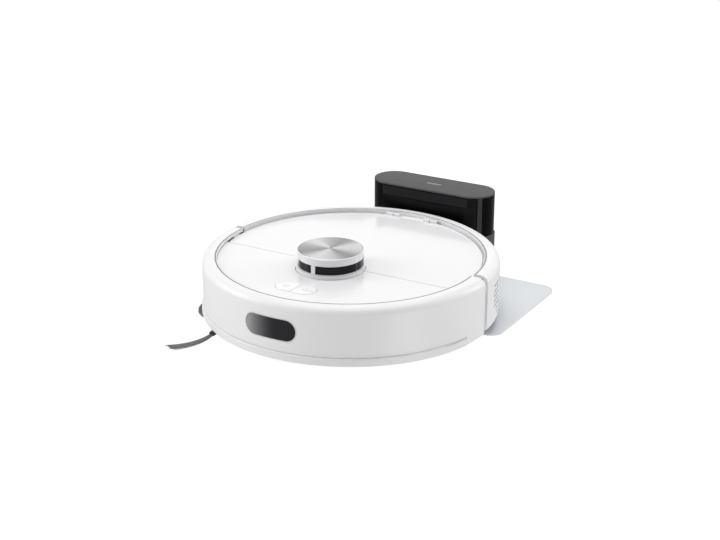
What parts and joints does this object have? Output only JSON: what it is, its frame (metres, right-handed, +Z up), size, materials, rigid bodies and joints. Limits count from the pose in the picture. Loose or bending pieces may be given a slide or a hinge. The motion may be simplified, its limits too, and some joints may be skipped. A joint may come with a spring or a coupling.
{
  "type": "robot vacuum cleaner",
  "caption": "Round robot vacuum with laser turret, sprung front bumper, opening lid, wheels and brushes, parked on a charging dock with a thin floor mat.",
  "frame": {"origin": "centre of the set's footprint, on the floor: the robot's own vertical axis stands 20 mm in front of it (at Y -0.020)", "axes": "+Z up; the robot's nose points to -Y and the dock stands behind it at +Y; the robot's left side is +X"},
  "size_m": [0.3654, 0.4349, 0.104],
  "materials": {
    "white_gloss": "gloss",
    "white_satin": "satin",
    "grey_trim": "satin",
    "dark_window": "gloss",
    "spun_metal": "spun",
    "steel": "satin",
    "plated_contact": "satin",
    "black_gloss": "gloss",
    "black_matt": "matt",
    "grey_plastic": "matt",
    "rubber_black": "matt",
    "tyre_rubber": "matt",
    "bristle": "fibrous",
    "mat_sheet": "frosted translucent",
    "board_green": "satin",
    "cell_wrap": "satin",
    "bin_smoke": "smoked translucent",
    "filter_media": "pleated",
    "light_pipe": "frosted"
  },
  "bodies": {
    "dock": {"dock_base": "black_matt", "dock_cover": "black_gloss", "dock_ir_window": "dark_window", "dock_top_plate": "black_matt", "dock_status_lens": "light_pipe", "dock_power_inlet": "black_matt", "dock_power_board": "board_green", "dock_feet": "rubber_black", "parking_mat": "mat_sheet"},
    "contact_left": {"dock_contact_left": "plated_contact"},
    "contact_right": {"dock_contact_right": "plated_contact"},
    "robot": {"lower_housing": "white_satin", "chassis_wall": "white_satin", "rear_side_shell": "white_gloss", "charging_plates": "plated_contact", "top_deck": "grey_plastic", "front_cover": "white_gloss", "lid_hinge_pin": "steel", "button_board": "board_green", "status_led": "light_pipe", "lidar_flange": "white_satin", "lidar_housing": "white_gloss", "lidar_window": "dark_window", "lidar_top_disc": "spun_metal", "lidar_motor": "steel", "lidar_belt": "rubber_black", "battery_pack": "cell_wrap", "battery_door": "white_satin", "main_board": "board_green", "fan_housing": "grey_plastic", "side_brush_gearbox": "black_matt", "brush_housing": "grey_plastic", "brush_guard": "black_matt", "cliff_sensors": "dark_window", "housing_screws": "steel", "dustbin": "bin_smoke", "dustbin_cover": "bin_smoke", "dust_filter": "filter_media"},
    "bumper": {"bumper_shell": "white_gloss", "bumper_strip": "white_satin", "bumper_window": "dark_window", "bumper_window_trim": "grey_trim"},
    "lid": {"lid_panel": "white_gloss"},
    "power_key": {"button_power": "grey_trim"},
    "home_key": {"button_home": "grey_trim"},
    "laser_head": {"lidar_scanner": "black_matt"},
    "belt_pulley": {"lidar_pulley": "grey_plastic"},
    "fan_wheel": {"fan_impeller": "black_matt"},
    "caster": {"caster_fork": "black_matt"},
    "caster_roller": {"caster_wheel": "rubber_black"},
    "brush_roller": {"main_brush_core": "black_matt", "main_brush_bristles": "bristle"},
    "side_brush": {"side_brush_hub": "black_matt", "side_brush_bristles": "bristle"},
    "arm_left": {"suspension_arm_left": "grey_plastic"},
    "arm_right": {"suspension_arm_right": "grey_plastic"},
    "wheel_left": {"wheel_hub_left": "grey_plastic", "tyre_left": "tyre_rubber"},
    "wheel_right": {"wheel_hub_right": "grey_plastic", "tyre_right": "tyre_rubber"}
  },
  "joints": [
    {"name": "undock", "type": "slide", "parent": "dock", "child": "robot", "axis": [0, -1, 0], "range_m": [0, 0.3]},
    {"name": "contact_left_press", "type": "slide", "parent": "dock", "child": "contact_left", "axis": [0, 1, 0], "range_m": [0, 0.003], "stiffness_N_per_m": 300, "springref_m": -0.002},
    {"name": "contact_right_press", "type": "slide", "parent": "dock", "child": "contact_right", "axis": [0, 1, 0], "range_m": [0, 0.003], "stiffness_N_per_m": 300, "springref_m": -0.002},
    {"name": "bumper_press", "type": "slide", "parent": "robot", "child": "bumper", "axis": [0, 1, 0], "range_m": [0, 0.004], "stiffness_N_per_m": 600, "springref_m": -0.003},
    {"name": "lid_hinge", "type": "hinge", "parent": "robot", "child": "lid", "pos_m": [0, 0.13, 0.0755], "axis": [-1, 0, 0], "range_deg": [0, 75]},
    {"name": "power_press", "type": "slide", "parent": "robot", "child": "power_key", "axis": [0, 0, -1], "range_m": [0, 0.001], "stiffness_N_per_m": 800, "springref_m": -0.001},
    {"name": "home_press", "type": "slide", "parent": "robot", "child": "home_key", "axis": [0, 0, -1], "range_m": [0, 0.001], "stiffness_N_per_m": 800, "springref_m": -0.001},
    {"name": "laser_spin", "type": "hinge", "parent": "robot", "child": "laser_head", "pos_m": [0, -0.066, 0.072], "axis": [0, 0, 1], "continuous": true},
    {"name": "pulley_spin", "type": "hinge", "parent": "robot", "child": "belt_pulley", "pos_m": [0.033, -0.066, 0.072], "axis": [0, 0, 1], "continuous": true},
    {"name": "fan_spin", "type": "hinge", "parent": "robot", "child": "fan_wheel", "pos_m": [0.096, 0.052, 0.038], "axis": [0, 0, 1], "continuous": true},
    {"name": "caster_swivel", "type": "hinge", "parent": "robot", "child": "caster", "pos_m": [0, -0.158, 0.03], "axis": [0, 0, 1], "continuous": true},
    {"name": "caster_roll", "type": "hinge", "parent": "caster", "child": "caster_roller", "pos_m": [0, -0.154, 0.012], "axis": [1, 0, 0], "continuous": true},
    {"name": "brush_spin", "type": "hinge", "parent": "robot", "child": "brush_roller", "pos_m": [0, -0.028, 0.022], "axis": [1, 0, 0], "continuous": true},
    {"name": "side_brush_spin", "type": "hinge", "parent": "robot", "child": "side_brush", "pos_m": [-0.105, -0.138, 0.01], "axis": [0, 0, 1], "continuous": true},
    {"name": "arm_left_swing", "type": "hinge", "parent": "robot", "child": "arm_left", "pos_m": [0.0998, -0.08, 0.045], "axis": [-1, 0, 0], "range_deg": [0, 20], "stiffness_Nm_per_rad": 0.6, "springref_deg": 22.92},
    {"name": "arm_right_swing", "type": "hinge", "parent": "robot", "child": "arm_right", "pos_m": [-0.0998, -0.08, 0.045], "axis": [-1, 0, 0], "range_deg": [0, 20], "stiffness_Nm_per_rad": 0.6, "springref_deg": 22.92},
    {"name": "wheel_left_spin", "type": "hinge", "parent": "arm_left", "child": "wheel_left", "pos_m": [0.114, -0.028, 0.032], "axis": [1, 0, 0], "continuous": true},
    {"name": "wheel_right_spin", "type": "hinge", "parent": "arm_right", "child": "wheel_right", "pos_m": [-0.114, -0.028, 0.032], "axis": [1, 0, 0], "continuous": true}
  ],
  "couplings": [
    {"joint": "pulley_spin", "follows": "laser_spin", "ratio": 7.4286}
  ]
}
